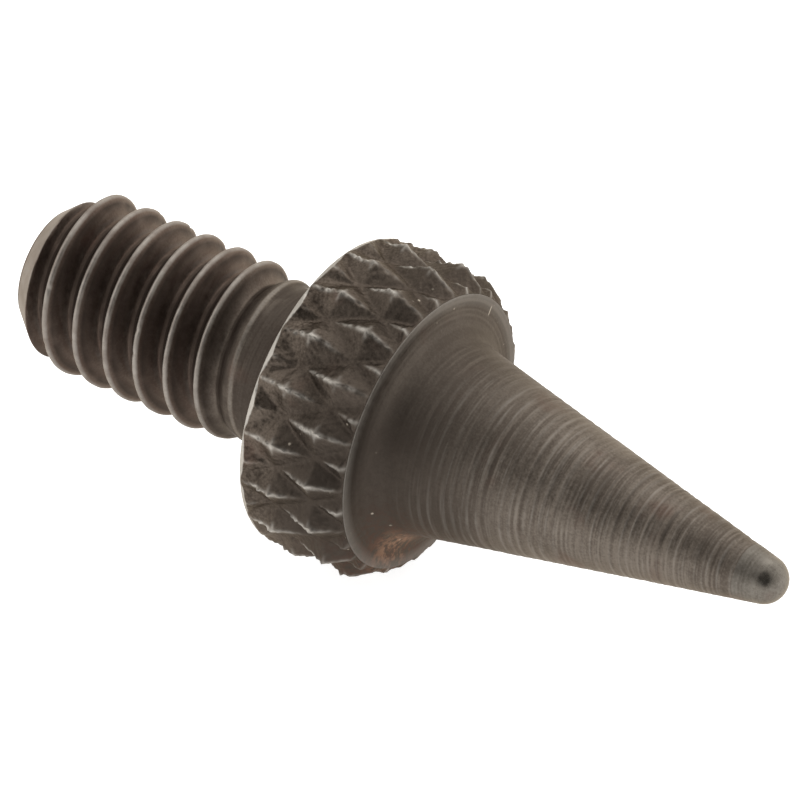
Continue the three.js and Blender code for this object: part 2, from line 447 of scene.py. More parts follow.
def tool_path(x, angle, tool_pass, start_x, end_x):
    """Shallow arcs left by a turning tool: how deep each point is cut, and how light or grimy it is."""
    random = np.random.default_rng(tool_pass.seed)
    count = int((end_x - start_x) / tool_pass.feed) + SPARE_RINGS
    edges = start_x + np.cumsum(tool_pass.feed * random.uniform(*FEED_SPREAD, count))
    depths = tool_pass.depth * random.uniform(*DEPTH_SPREAD, count)
    tones = tool_pass.tone * random.uniform(*TONE_SPREAD, count)
    sway = np.sin(angle + tool_pass.seed) + 0.5 * np.sin(3 * angle + x)
    wander = RING_WANDER * tool_pass.feed * sway
    ring = np.interp(x + wander, edges, np.arange(count), left=0, right=count - 1)
    number = np.clip(ring.astype(int), 0, count - 1)
    part = ring - number
    return 4 * part * (1 - part) * depths[number], np.cos(TURN * part) * tones[number]


def broken_up(points, breaks):
    """How strongly a pass shows at each point."""
    ripple = Ripple(breaks.seed, breaks.size).at(points)
    return np.clip(BREAK_MEAN + BREAK_SWING * ripple, *BREAK_LIMITS)


def turned_surface(x, radius, angle):
    """How far the tool cut below the cone and the neck, and how light or dark its lines are, with painted
    shade over the neck.
    """
    on_cone = (x > FLANGE_FACE_X + SMOOTH_FILLET) & (x < CONE_END_X - HAIR)
    on_cone = on_cone & (radius > cone_radius(x) - TOLERANCE)
    on_neck = (x > RUN_OUT_END_X - HAIR) & (x < SEAT_X)
    points = around(x, radius, angle)
    wide, wide_tone = tool_path(x, angle, WIDE_PASS, FLANGE_FACE_X, CONE_END_X)
    middle, middle_tone = tool_path(x, angle, MIDDLE_PASS, FLANGE_FACE_X, CONE_END_X)
    fine, fine_tone = tool_path(x, angle, FINE_PASS, RUN_OUT_END_X, CONE_END_X)
    wide_shown = broken_up(points, WIDE_BREAKS)
    middle_shown = broken_up(points, MIDDLE_BREAKS)
    fine_shown = broken_up(points, FINE_BREAKS)
    shown = rise(x - FLANGE_FACE_X, *LINES_FADE_IN)
    cone_tone = shown * (wide_shown * wide_tone + middle_shown * middle_tone + fine_shown * fine_tone)
    # Painted shade darkens the whole neck.
    neck_tone_and_shade = NECK_TONE / FINE_PASS.tone * fine_tone - NECK_SHADE
    wide_cut = wide * (STEADY_CUT + (1 - STEADY_CUT) * wide_shown)
    cone_cut = shown * (wide_cut + middle * middle_shown + fine)
    cut = np.where(on_cone, cone_cut, np.where(on_neck, fine, 0))
    return cut, np.where(on_cone, cone_tone, np.where(on_neck, neck_tone_and_shade, 0))


def dents(points, seed, count, along, round_radius, size, depth):
    """Small nicks at random places on a cylinder, as the distance to push each point inwards."""
    random = np.random.default_rng(seed)
    push = np.zeros(len(points))
    for _ in range(count):
        centre = around(random.uniform(*along), round_radius, random.uniform(0, TURN))[0]
        wide = size * random.uniform(*NICK_SIZE_SPREAD)
        near = np.sum((points - centre) ** 2, axis=1)
        push += depth * random.uniform(*NICK_DEPTH_SPREAD) * np.exp(-near / (wide * wide))
    return push


# A line of the body's mesh has a key that is the same in each column it crosses. The thread's
# keys count its helical lines, and the end face's and the outline's lie far below and above them.
THREAD_KEY_LIMIT = 1e5
END_KEY = -1e6
OUTLINE_KEY = 1e6


def join_columns(left, right, shift, faces):
    """Fills the strip between two columns of (key, vertex) with quads, and triangles where lines end."""
    left_keys, left_verts = left
    right_keys, right_verts = right
    i = k = 0
    last_i = len(left_keys) - 1
    last_k = len(right_keys) - 1
    while i < last_i or k < last_k:
        next_left = left_keys[i + 1] if i < last_i else math.inf
        next_right = right_keys[k + 1] if k < last_k else math.inf
        if abs(next_right) < THREAD_KEY_LIMIT:
            next_right -= shift
        if next_left == next_right:
            faces.append((left_verts[i], right_verts[k], right_verts[k + 1], left_verts[i + 1]))
            i += 1
            k += 1
        elif next_left < next_right:
            faces.append((left_verts[i], right_verts[k], left_verts[i + 1]))
            i += 1
        else:
            faces.append((left_verts[i], right_verts[k], right_verts[k + 1]))
            k += 1


def rim_wear(x, radius):
    """Worn corners of the flange's rim, as a strength for each outline point."""
    along = x - FLANGE_FACE_X + RIM_CORNER_INSET
    outwards = radius - FLANGE_RADIUS + RIM_CORNER_INSET
    return RIM_CORNER_WEAR * bell(np.hypot(along, outwards), RIM_CORNER_BAND)


def body_columns():
    """The body's columns as (keys, vertices), and every vertex's place, radius, angle and wear."""
    outline = turned_outline()
    outline_keys = (OUTLINE_KEY + np.arange(len(outline))).tolist()
    outline_wear = rim_wear(outline[:, 0], outline[:, 1])
    ring = np.arange(END_FACE_RINGS)
    end_keys = (END_KEY + ring).tolist()
    end_radii = np.linspace(END_FACE_INNER_RADIUS, END_FACE_RADIUS, END_FACE_RINGS)
    end_wear_and_highlight = END_WEAR_AND_HIGHLIGHT * (1 - END_RING_SWING + END_RING_SWING * np.cos(math.pi * ring))
    columns = []
    points = []
    used = 0
    for column in range(BODY_COLUMNS):
        angle = TURN * column / BODY_COLUMNS
        key, thread_x, thread_radius, thread_wear_and_painted_light = thread_column(angle)
        keys = [*end_keys, *key.tolist(), *outline_keys]
        x = np.concatenate([np.full(END_FACE_RINGS, THREAD_END_X), thread_x, outline[:, 0]])
        radius = np.concatenate([end_radii, thread_radius, outline[:, 1]])
        wear_and_painted_light = np.concatenate([end_wear_and_highlight, thread_wear_and_painted_light, outline_wear])
        columns.append((keys, list(range(used, used + len(keys)))))
        points.append(np.stack([x, radius, np.full(len(x), angle), wear_and_painted_light]))
        used += len(keys)
    return columns, *np.concatenate(points, axis=1)


def thread_relief(x, radius, angle):
    """Nicks in the crests and a slight waviness, as the distance to push each point inwards."""
    points = around(x, radius, angle)
    along = (THREAD_END_X, RUN_OUT_START_X)
    nicks = dents(points, 5, NICKS, along, THREAD_CREST_RADIUS, NICK_SIZE, NICK_DEPTH)
    nicks = nicks * rise(radius - THREAD_CREST_RADIUS, *NICKED_HEIGHT)
    return nicks + WAVER_DEPTH * Ripple(3, WAVER_SIZE).at(points)


def threaded_body(material):
    columns, x, radius, angle, wear_and_painted_light = body_columns()
    # The turned lines' tones, with painted shade over the neck.
    cut, lined = turned_surface(x, radius, angle)
    radius = radius - cut
    on_thread = (x < RUN_OUT_END_X) & (x > THREAD_END_X + TOLERANCE)
    scuffs = SCUFF_MEAN + SCUFF_SWING * Ripple(4, SCUFF_SIZE).at(around(x, radius, angle))
    wear_and_painted_light = np.where(on_thread, wear_and_painted_light * np.clip(scuffs, *SCUFF_LIMITS), wear_and_painted_light + lined)
    radius = radius - np.where(on_thread, thread_relief(x, radius, angle), 0)
    points = around(x, radius, angle)
    end_centre = len(points)
    bore_centre = end_centre + 1
    points = np.concatenate([points, [[THREAD_END_X, 0, 0], [BORE_END_X, 0, 0]]])
    wear_and_painted_light = np.concatenate([wear_and_painted_light, [END_WEAR_AND_HIGHLIGHT, 0]])
    faces = []
    for column, left in enumerate(columns):
        closing = column == BODY_COLUMNS - 1
        right = columns[(column + 1) % BODY_COLUMNS]
        join_columns(left, right, LINES_PER_TURN if closing else 0, faces)
        faces.append((end_centre, right[1][0], left[1][0]))
        faces.append((left[1][-1], right[1][-1], bore_centre))
    piece = make_piece("turned_body", "threaded_point_body", material, points, faces, wear_and_painted_light)
    return piece


# --- Knurled ring ------------------------------------------------------------------------------


def knurl_place(x, angle):
    """Where each point is from its pyramid's tip, along the axis and round it, from -1 to 1."""
    along = (x - KNURL_FIRST_CREST_X) / KNURL_HALF_LENGTH
    across = (angle - KNURL_PHASE) / (KNURL_TOOTH_ANGLE / 2)
    a = np.mod(along + 1, 2) - 1
    c = np.mod(across + 1, 2) - 1
    next_row = np.abs(a) + np.abs(c) > 1
    return np.where(next_row, a - np.sign(a), a), np.where(next_row, c - np.sign(c), c)


def knurl_height(a, c):
    """Height of the pyramids, from 0 to 1, with slightly rounded crests and pits."""
    height = 1 - np.sqrt(a ** 2 + CREST_SOFTNESS_ALONG) - np.sqrt(c ** 2 + CREST_SOFTNESS_ROUND)
    return np.sqrt(np.maximum(height, 0) ** 2 + PIT_SOFTNESS)


def knurl_wear_and_painted_light(a, c):
    """Wear of the knurl: above 0 on ridges and tips, partly a painted highlight, and below 0 in grooves
    and pits, as painted shade.
    """
    far_a = np.abs(a)
    far_c = np.abs(c)
    # Ridges, arms and tips are partly worn and partly painted highlights.
    ridge = bell(far_c * KNURL_HALF_WIDTH, RIDGE_WIDTH + RIDGE_FLARE * (1 - far_a))
    forward = (1 - FORWARD_DULLING * rise(far_a, *FORWARD_TIP)) * rise(far_a, *FORWARD_RIDGE)
    ridge = ridge * np.where(a < 0, rise(far_a, *REARWARD_RIDGE), forward)
    arms = ARM_WEAR_AND_HIGHLIGHT * bell(far_a * KNURL_HALF_LENGTH, ARM_WIDTH) * rise(far_c, *ARM_REACH)
    tip = bell(np.hypot(a * KNURL_HALF_LENGTH, c * KNURL_HALF_WIDTH), TIP_SIZE)
    wear_and_painted_light = np.maximum(np.maximum(ridge, arms), tip) * rise(far_a + far_c, *UNWORN_GROOVE)
    end_pit = np.hypot((1 - far_a) * KNURL_HALF_LENGTH, far_c * KNURL_HALF_WIDTH)
    side_pit = np.hypot(far_a * KNURL_HALF_LENGTH, (1 - far_c) * KNURL_HALF_WIDTH)
    # Painted shade in the grooves and pits.
    groove_shade = KNURL_GROOVE_SHADE * rise(far_a + far_c, *SHADED_GROOVE)
    pit_shade = PIT_SHADE * bell(np.minimum(end_pit, side_pit), PIT_SIZE)
    return KNURL_WEAR_AND_HIGHLIGHT * wear_and_painted_light - np.maximum(groove_shade, pit_shade) * (1 - wear_and_painted_light)


def ring_rows():
    """Places along the axis of the ring's skin, closest at its rear rim and its front."""
    rim = np.arange(RIM_STEP, RIM_BAND + RIM_SCALLOP + 3 * RIM_STEP, RIM_STEP)
    step = KNURL_HALF_LENGTH / ROWS_PER_PYRAMID
    rows = np.arange(rim[-1] + 2 * RIM_STEP, RING_FRONT_X - 2.5 * RIM_STEP, step)
    return np.array([0.0, *rim, *rows, RING_FRONT_X - RIM_STEP, RING_FRONT_X])


def ring_inside():
    """The ring's countersunk bore and its flat rear face, as (x, radius) corners."""
    rear_face = line(0, RING_BORE_RADIUS, 0, REAR_FACE_RADIUS, REAR_FACE_STEP)
    return np.array([(RING_FRONT_X, COUNTERSINK_RADIUS), (FLANGE_BACK_X, RING_BORE_RADIUS), *rear_face])


def ring_skin(x, angle):
    """The radius and wear of the ring's skin, with painted highlights and shade: the knurl, cut by the
    chamfer, the lip and the rear rim.
    """
    crest_skin = around(x, KNURL_CREST_RADIUS, angle)

    def ripple(seed, size):
        return Ripple(seed, size).at(crest_skin).reshape(x.shape)

    twisted = angle + TWIST * ripple(23, TWIST_SIZE)
    a, c = knurl_place(x + DRIFT * ripple(22, DRIFT_SIZE), twisted)
    ridge = knurl_wear_and_painted_light(a, c)
    torn = TORN_FACET + TORN_RIDGE * np.clip(ridge, 0, 1)
    rough = torn * ripple(21, TORN_SIZE) + ROUGH_DEPTH * ripple(25, ROUGH_SIZE)
    deepened = rise(x, 0, KNURL_SHALLOW_TO_X)
    depth = KNURL_DEPTH * (KNURL_REAR_DEPTH + (1 - KNURL_REAR_DEPTH) * deepened)
    dropped = KNURL_DROP * soft_floor(x - RING_CHAMFER_X, KNURL_DROP_ROUNDING)
    knurled = KNURL_CREST_RADIUS - dropped - depth * (1 - knurl_height(a, c)) + rough
    wall = RING_BORE_RADIUS + THINNEST_WALL + COUNTERSINK_SLOPE * (x - FLANGE_BACK_X)
    knurled = np.maximum(knurled, wall)
    chamfer = KNURL_CREST_RADIUS - RING_CHAMFER_SLOPE * (x - RING_CHAMFER_X)
    lip = RING_LIP_RADIUS + RING_LIP_SLOPE * (RING_FRONT_X - x)
    rear = REAR_RIM_RADIUS + REAR_RIM_SLOPE * x
    radius = soft_min(knurled, chamfer, RING_CHAMFER_ROUNDING)
    radius = soft_min(soft_min(radius, lip, RING_LIP_ROUNDING), rear, REAR_RIM_ROUNDING)
    radius[:, 0] -= REAR_CORNER_DROP

    # The rear rim's light band: partly wear, partly a painted highlight standing for its bright
    # reflection.
    from_tooth = np.mod((twisted - KNURL_PHASE) / KNURL_TOOTH_ANGLE, 1)
    band = RIM_BAND + RIM_SCALLOP * (1 - np.abs(1 - 2 * from_tooth))
    on_rim = rise(band - x, *RIM_EDGE)
    on_chamfer = np.clip((knurled - chamfer) / CHAMFER_BLEND, 0, 1)
    patch = PATCH_MEAN + BROAD_PATCH * ripple(24, BROAD_PATCH_SIZE)
    patch = patch + SMALL_PATCH * ripple(26, SMALL_PATCH_SIZE)
    wear_and_painted_light = ridge * np.clip(patch, *PATCH_LIMITS)
    wear_and_painted_light = wear_and_painted_light * (1 - CHAMFER_DULLING * on_chamfer) + CHAMFER_WEAR * on_chamfer
    return radius, wear_and_painted_light * (1 - on_rim) + RIM_WEAR_AND_HIGHLIGHT * on_rim


def knurled_ring(material):
    rows = ring_rows()
    angles = KNURL_PHASE + TURN * np.arange(RING_COLUMNS) / RING_COLUMNS
    skin_x, skin_angle = np.meshgrid(rows, angles)
    skin_radius, skin_wear_and_painted_light = ring_skin(skin_x, skin_angle)
    inside = np.repeat(ring_inside()[None], RING_COLUMNS, axis=0)
    x = np.concatenate([skin_x, inside[:, :, 0]], axis=1)
    radius = np.concatenate([skin_radius, inside[:, :, 1]], axis=1)
    wear_and_painted_light = np.concatenate([skin_wear_and_painted_light, np.zeros(inside.shape[:2])], axis=1).reshape(-1)
    points = around(x, radius, angles[:, None])
    count = x.shape[1]
    faces = []
    for column in range(RING_COLUMNS):
        here = column * count
        there = (column + 1) % RING_COLUMNS * count
        for row in range(count):
            up = (row + 1) % count
            faces.append((here + row, there + row, there + up, here + up))
    piece = make_piece("knurled_ring", "knurled_collar", material, points, faces, wear_and_painted_light, KNURL_SHARP_ANGLE)
    return piece


# --- Nose --------------------------------------------------------------------------------------


def ball_nose(material):
    seam_x = CONE_END_X + SEAM
    joint_x = NOSE_CENTRE_X + NOSE_RADIUS * math.sin(CONE_ANGLE)
    joint_radius = NOSE_RADIUS * math.cos(CONE_ANGLE)
    outline = [(SHANK_BACK_X, SHANK_RADIUS), (seam_x, SHANK_RADIUS)]
    outline += line(seam_x, cone_radius(seam_x), joint_x, joint_radius, CONE_STEP)
    outline += arc(NOSE_CENTRE_X, 0, NOSE_RADIUS, math.pi / 2 - CONE_ANGLE, TIP_OPENING, BALL_STEPS)
    outline = np.array(outline)
    angles = TURN * np.arange(NOSE_COLUMNS) / NOSE_COLUMNS
    x, angle = np.meshgrid(outline[:, 0], angles)
    radius = np.repeat(outline[None, :, 1], NOSE_COLUMNS, axis=0)
    cut, tone = tool_path(x, angle, NOSE_PASS, seam_x, NOSE_TIP_X)
    shown = rise(x - NOSE_CENTRE_X, *NOSE_LINES_FADE_OUT)
    shown = np.where(radius > SHANK_RADIUS + TOLERANCE, shown, 0)
    points = around(x, radius - shown * cut, angle)
    back_centre = len(points)
    tip = back_centre + 1
    points = np.concatenate([points, [[SHANK_BACK_X, 0, 0], [NOSE_TIP_X, 0, 0]]])
    wear_and_painted_light = np.concatenate([(shown * tone).reshape(-1), [0, 0]])
    count = len(outline)
    faces = []
    for column in range(NOSE_COLUMNS):
        here = column * count
        there = (column + 1) % NOSE_COLUMNS * count
        for row in range(count - 1):
            faces.append((here + row, there + row, there + row + 1, here + row + 1))
        faces.append((back_centre, there, here))
        faces.append((here + count - 1, there + count - 1, tip))
    piece = make_piece("ball_nose", "nose_insert", material, points, faces, wear_and_painted_light)
    return piece


# --- Materials ---------------------------------------------------------------------------------


SCRATCH_EDGE = (0.006 * MM, 0.02 * MM)
RELIEF = 0.003 * MM


class Nodes:
    """Short names for making a node tree."""

    def __init__(self, tree):
        self.tree = tree
        tree.nodes.clear()

    def add(self, kind, **inputs):
        node = self.tree.nodes.new(kind)
        for name, value in inputs.items():
            self.set(node.inputs[name.replace("_", " ")], value)
        return node

    def set(self, socket, value):
        if isinstance(value, bpy.types.NodeSocket):
            self.tree.links.new(value, socket)
        else:
            socket.default_value = value

    def noise(self, place, size, detail=4, rough=0.55):
        """Noise whose lumps are about size millimetres across."""
        node = self.add("ShaderNodeTexNoise", Vector=place)
        node.inputs["Scale"].default_value = 1 / (size * MM)
        node.inputs["Detail"].default_value = detail
        node.inputs["Roughness"].default_value = rough
        return node.outputs["Fac"]

    def lines(self, distance, size, detail=3):
        """Noise in lines about size millimetres wide, along a distance in metres."""
        node = self.add("ShaderNodeTexNoise")
        node.noise_dimensions = "1D"
        self.set(node.inputs["W"], distance)
        node.inputs["Scale"].default_value = 1 / (size * MM)
        node.inputs["Detail"].default_value = detail
        return node.outputs["Fac"]

    def ramp(self, value, low, high, to_low=0.0, to_high=1.0):
        node = self.add("ShaderNodeMapRange")
        node.interpolation_type = "SMOOTHSTEP"
        for number, part in enumerate((value, low, high, to_low, to_high)):
            self.set(node.inputs[number], part)
        return node.outputs[0]

    def math(self, operation, a, b=0.0, clamp=False):
        node = self.add("ShaderNodeMath")
        node.operation = operation
        node.use_clamp = clamp
        self.set(node.inputs[0], a)
        self.set(node.inputs[1], b)
        return node.outputs[0]

    def plus(self, a, b):
        return self.math("ADD", a, b)

    def times(self, a, b):
        return self.math("MULTIPLY", a, b)

    def mix(self, factor, a, b):
        node = self.add("ShaderNodeMix")
        node.data_type = "RGBA"
        self.set(node.inputs["Factor"], factor)
        self.set(node.inputs["A"], a)
        self.set(node.inputs["B"], b)
        return node.outputs["Result"]

    def vector(self, operation, a, b=(0, 0, 0)):
        node = self.add("ShaderNodeVectorMath")
        node.operation = operation
        self.set(node.inputs[0], a)
        self.set(node.inputs[1], b)
        return node

    def bump(self, height, strength, **inputs):
        """A relief three thousandths of a millimetre high."""
        node = self.add("ShaderNodeBump", Height=height, **inputs)
        node.inputs["Strength"].default_value = strength
        node.inputs["Distance"].default_value = RELIEF
        return node.outputs["Normal"]

    def along_axis(self, place, start, end, to_start=0.0, to_end=1.0):
        """A ramp between two places along the axis, in millimetres."""
        return self.ramp(place, start * MM, end * MM, to_start, to_end)

    def from_axis(self, place):
        """The distance along the axis, and the distance from it."""
        parts = self.add("ShaderNodeSeparateXYZ", Vector=place)
        flat = self.add("ShaderNodeCombineXYZ", Y=parts.outputs["Y"], Z=parts.outputs["Z"])
        return parts.outputs["X"], self.vector("LENGTH", flat.outputs[0]).outputs["Value"]

    def near(self, place, spot, size):
        """1 at a spot given in millimetres, falling to 0 at size millimetres from it."""
        gap = self.vector("DISTANCE", place, [c * MM for c in spot])
        return self.ramp(gap.outputs["Value"], 0.0, size * MM, 1.0, 0.0)

    def scratch(self, place, spot, across, half_length, strength):
        """A short fine scratch through a spot in millimetres, square to a unit direction."""
        gap = self.vector("SUBTRACT", place, [c * MM for c in spot])
        side = self.vector("DOT_PRODUCT", gap.outputs[0], across)
        off_line = self.math("ABSOLUTE", side.outputs["Value"])
        on_line = self.ramp(off_line, *SCRATCH_EDGE, strength, 0.0)
        return self.times(on_line, self.ramp(self.near(place, spot, half_length), 0, 0.5))

    def finish(self, kind, shader):
        output = self.add(kind)
        self.set(output.inputs["Surface"], shader)


def colour(red, green, blue):
    return (red, green, blue, 1.0)


class Steel(NamedTuple):
    """What differs between the oxide films of the pieces."""

    dark: tuple
    light: tuple
    roughness: float
    turned: float
    pitted: float
    polished_from_x: float | None = None


BODY_STEEL = Steel(colour(0.084, 0.069, 0.057), colour(0.158, 0.134, 0.112), 0.46, 0.3, 0.5)
COLLAR_STEEL = Steel(colour(0.042, 0.033, 0.026), colour(0.132, 0.107, 0.087), 0.42, 0.1, 1.0)
NOSE_STEEL = Steel(
    colour(0.1, 0.088, 0.075), colour(0.165, 0.15, 0.13), 0.44, 0.22, 0.3, NOSE_CENTRE_X - 0.05)
EDGE_TINT = colour(0.8, 0.74, 0.66)
# Next: the colours of worn steel with painted highlights, of grime with painted shade, and of painted
# shade on the disc.
WORN_AND_HIGHLIGHT = colour(0.385, 0.362, 0.33)
GRIME_AND_SHADE = colour(0.031, 0.022, 0.0175)
SHADED = colour(0.058, 0.047, 0.039)
DUST = colour(0.52, 0.46, 0.38)
RUST = colour(0.3, 0.185, 0.125)
REDDISH = colour(0.1, 0.056, 0.043)

# Patterns of the oxide film.
CLOUD_SIZE = 0.9
GRAIN_SIZE = 0.1
SPECKLE_SIZE = 0.035
STREAK_WIDTH = 0.05
STREAK_PATCH_SIZE = 0.5
REDDISH_PATCH_SIZE = 0.7
PIT_PATTERN_SIZE = 0.05
FILM_PARTS = (0.4, 0.3, 0.3)
FILM_TONES = (0.38, 0.62)
REDDISH_THREAD = (-1.1, -1.9)
REDDISH_THREAD_STRENGTH = 0.4

# Ramps of noise: the two values they run between, then what they give there if it isn't 0 and 1.
WEAR_BREAKS = (0.3, 0.65, 0.7, 1.15)
LINE_BREAKS = (0.35, 0.65, 0.2, 1.6)
REDDISH_PATCHES = (0.56, 0.78, 0.0, 0.45)
REDDISH_GRAIN = (0.4, 0.6)
RUST_SPOTS = (0.44, 0.58, 0.1, 1.0)
SPECK_SIZES = (0.26, 0.42, 1.0, 0.0)
ROUGH_GRAIN = (0.25, 0.75)
ROUGHNESS_SPREAD = (-0.06, 0.08)

# Painted shade: the film is darker on the ring's front, the disc and the cone's base, and darkest
# round one spot low on the disc, standing for the dark reflections there.
SHADE_STARTS = (0, 1)
SHADE_ENDS = (4.4, 2.2)
SHADE_SPOT = (1.8, -1.5, -0.5)
SHADE_SPOT_SIZE = 2.7
SHADE_STRENGTH = 0.5
SHADE_SPOT_STRENGTH = 0.9
SHADE_ROUGHNESS = 0.16

# Rust low on the disc, with reddish film round it.
RUST_SPOT = (1.66, -0.85, -1.4)
RUST_SIZE = 0.75
RUST_MOTTLE_SIZE = 0.25
REDDISH_SIZE = 1.7

# Dust on the ring and the disc, and one fine scratch in the disc.
DUST_CELL = 0.125
DUST_RAGGEDNESS = 0.4
DUST_STARTS = (0.3, 0.8)
DUST_ENDS = (1.7, 2.1)
DUST_STRENGTH = 0.7
DUST_SHARE = (0.955, 0.98)
DUST_NEAR_RUST = 0.3
SCRATCH_SPOT = (1.64, 1.47, 1.23)
SCRATCH_ACROSS = (0.0, 0.8, -0.6)
SCRATCH_HALF_LENGTH = 0.1
SCRATCH_STRENGTH = 0.6

# How grime and painted shade, and the nose's polish, change the metal.
POLISH_LENGTH = 0.15
POLISH = 0.17
GRIME_AND_SHADE_METAL = 0.8
GRIME_AND_SHADE_ROUGHNESS = 0.15


class OxideNodes(Nodes):
    """The node tree of one black-oxide steel, with the patterns that its parts share."""

    def __init__(self, tree):
        super().__init__(tree)
        self.place = self.add("ShaderNodeTexCoord").outputs["Object"]
        self.along, from_axis = self.from_axis(self.place)
        self.grain = self.noise(self.place, GRAIN_SIZE, 6, 0.7)
        self.speckle = self.noise(self.place, SPECKLE_SIZE, 3, 0.6)
        self.streak = self.lines(self.plus(self.along, from_axis), STREAK_WIDTH)
        self.near_stain = self.near(self.place, RUST_SPOT, REDDISH_SIZE)
        # Painted shade: how much the film is darkened, most round one spot low on the disc.
        near_shade_spot = self.near(self.place, SHADE_SPOT, SHADE_SPOT_SIZE)
        spot_shade = self.ramp(near_shade_spot, 0.0, 0.6, SHADE_STRENGTH, SHADE_SPOT_STRENGTH)
        ends = self.along_axis(self.along, *SHADE_ENDS)
        self.shade = self.times(self.times(ends, self.along_axis(self.along, *SHADE_STARTS)), spot_shade)
        # The wear attribute: above 0 worn steel and painted highlights, below 0 grime and painted shade.
        wear_and_painted_light = self.add("ShaderNodeAttribute")
        wear_and_painted_light.attribute_name = "wear_and_painted_light"
        broken = self.ramp(self.grain, *WEAR_BREAKS)
        self.worn_and_highlight = self.math("MULTIPLY", wear_and_painted_light.outputs["Fac"], broken, clamp=True)
        self.grime_and_shade = self.math("MULTIPLY", wear_and_painted_light.outputs["Fac"], -1.0, clamp=True)

    def oxide(self, steel):
        """The film's own colour: clouds, grain and turned lines, with reddish patches."""
        cloud = self.noise(self.place, CLOUD_SIZE, 5)
        cloud_part, grain_part, speckle_part = FILM_PARTS
        tone = self.plus(self.times(cloud, cloud_part), self.times(self.grain, grain_part))
        tone = self.plus(tone, self.times(self.speckle, speckle_part))
        lined = self.times(self.math("SUBTRACT", self.streak, 0.5), steel.turned)
        patches = self.noise(self.place, STREAK_PATCH_SIZE, 3)
        lined = self.times(lined, self.ramp(patches, *LINE_BREAKS))
        film = self.mix(self.ramp(self.plus(tone, lined), *FILM_TONES), steel.dark, steel.light)
        reddish = self.noise(self.place, REDDISH_PATCH_SIZE, 3)
        return self.mix(self.ramp(reddish, *REDDISH_PATCHES), film, REDDISH)

    def stained(self, film):
        """The film, darker on the disc with painted shade, and reddish on the thread and round the rust.
        """
        # Painted shade on the ring's front, the disc and the cone's base.
        film = self.mix(self.shade, film, SHADED)
        round_rust = self.times(self.near_stain, self.ramp(self.grain, *REDDISH_GRAIN))
        on_thread = self.along_axis(self.along, *REDDISH_THREAD, 0.0, REDDISH_THREAD_STRENGTH)
        return self.mix(self.math("MAXIMUM", round_rust, on_thread), film, REDDISH)

    def rust(self):
        """How rusty each point is."""
        mottle = self.plus(self.grain, self.noise(self.place, RUST_MOTTLE_SIZE, 5, 0.7))
        spots = self.ramp(self.times(mottle, 0.5), *RUST_SPOTS)
        return self.times(self.near(self.place, RUST_SPOT, RUST_SIZE), spots)

    def dust(self):
        """How dusty each point is: a few small specks, and the scratch."""
        cells = self.add("ShaderNodeTexVoronoi", Vector=self.place)
        cells.inputs["Scale"].default_value = 1 / (DUST_CELL * MM)
        lot = self.add("ShaderNodeSeparateColor", Color=cells.outputs["Color"]).outputs[0]
        ragged = self.plus(cells.outputs["Distance"], self.times(self.grain, DUST_RAGGEDNESS))
        specks = self.ramp(ragged, *SPECK_SIZES)
        chosen = self.plus(lot, self.times(self.near_stain, DUST_NEAR_RUST))
        specks = self.times(specks, self.ramp(chosen, *DUST_SHARE))
        specks = self.times(specks, self.along_axis(self.along, *DUST_ENDS, DUST_STRENGTH, 0.0))
        specks = self.times(specks, self.along_axis(self.along, *DUST_STARTS))
        scratch = self.scratch(
            self.place, SCRATCH_SPOT, SCRATCH_ACROSS, SCRATCH_HALF_LENGTH, SCRATCH_STRENGTH)
        return self.math("MAXIMUM", specks, scratch)

    def roughness(self, steel):
        smoothest, roughest = [steel.roughness + part for part in ROUGHNESS_SPREAD]
        rough = self.ramp(self.grain, *ROUGH_GRAIN, smoothest, roughest)
        rough = self.plus(rough, self.times(self.grime_and_shade, GRIME_AND_SHADE_ROUGHNESS))
        rough = self.plus(rough, self.times(self.shade, SHADE_ROUGHNESS))
        if steel.polished_from_x is None:
            return rough
        polished_to_x = steel.polished_from_x + POLISH_LENGTH
        polish = self.along_axis(self.along, steel.polished_from_x, polished_to_x, 0.0, POLISH)
        return self.math("SUBTRACT", rough, polish)


def oxide_steel(name, steel):
    """Black-oxide steel: a brown-black film, turned lines, lighter worn edges and painted highlights,
    grime and painted shade, rust and dust.
    """
    material = bpy.data.materials.new(name)
    material.use_nodes = True
    nodes = OxideNodes(material.node_tree)
    film = nodes.stained(nodes.oxide(steel))
    # Grime, and painted shade in the thread's and the knurl's hollows.
    film = nodes.mix(nodes.grime_and_shade, film, GRIME_AND_SHADE)
    film = nodes.mix(nodes.rust(), film, RUST)
    # Worn steel and painted highlights.
    film = nodes.mix(nodes.worn_and_highlight, film, WORN_AND_HIGHLIGHT)
    film = nodes.mix(nodes.dust(), film, DUST)
    shader = nodes.add("ShaderNodeBsdfPrincipled", Base_Color=film, Roughness=nodes.roughness(steel))
    nodes.set(shader.inputs["Metallic"], nodes.ramp(nodes.grime_and_shade, 0.0, 1.0, 1.0, GRIME_AND_SHADE_METAL))
    shader.inputs["Specular Tint"].default_value = EDGE_TINT
    pits = nodes.bump(nodes.noise(nodes.place, PIT_PATTERN_SIZE, 4, 0.6), steel.pitted)
    nodes.set(shader.inputs["Normal"], nodes.bump(nodes.streak, steel.turned, Normal=pits))
    nodes.finish("ShaderNodeOutputMaterial", shader.outputs["BSDF"])
    return material


# --- Stage -------------------------------------------------------------------------------------

FLOOR_HALF_SIZE = 1.5
FLOOR_GREY = 0.7
FLOOR_ROUGHNESS = 0.6
FLOOR_GLOW = 0.84

VIEW_AZIMUTH = math.radians(35.7)
VIEW_ELEVATION = math.radians(37.7)
VIEW_DISTANCE = 0.25
VIEW_WIDTH = 11.29 * MM
AIM_RIGHT = 0.921 * MM
AIM_UP = -0.141 * MM

SOFTBOX_PLACE = (-0.15, 0.35, 0.5)
SOFTBOX_SIZE = (0.5, 0.35)
SOFTBOX_ENERGY = 0.3

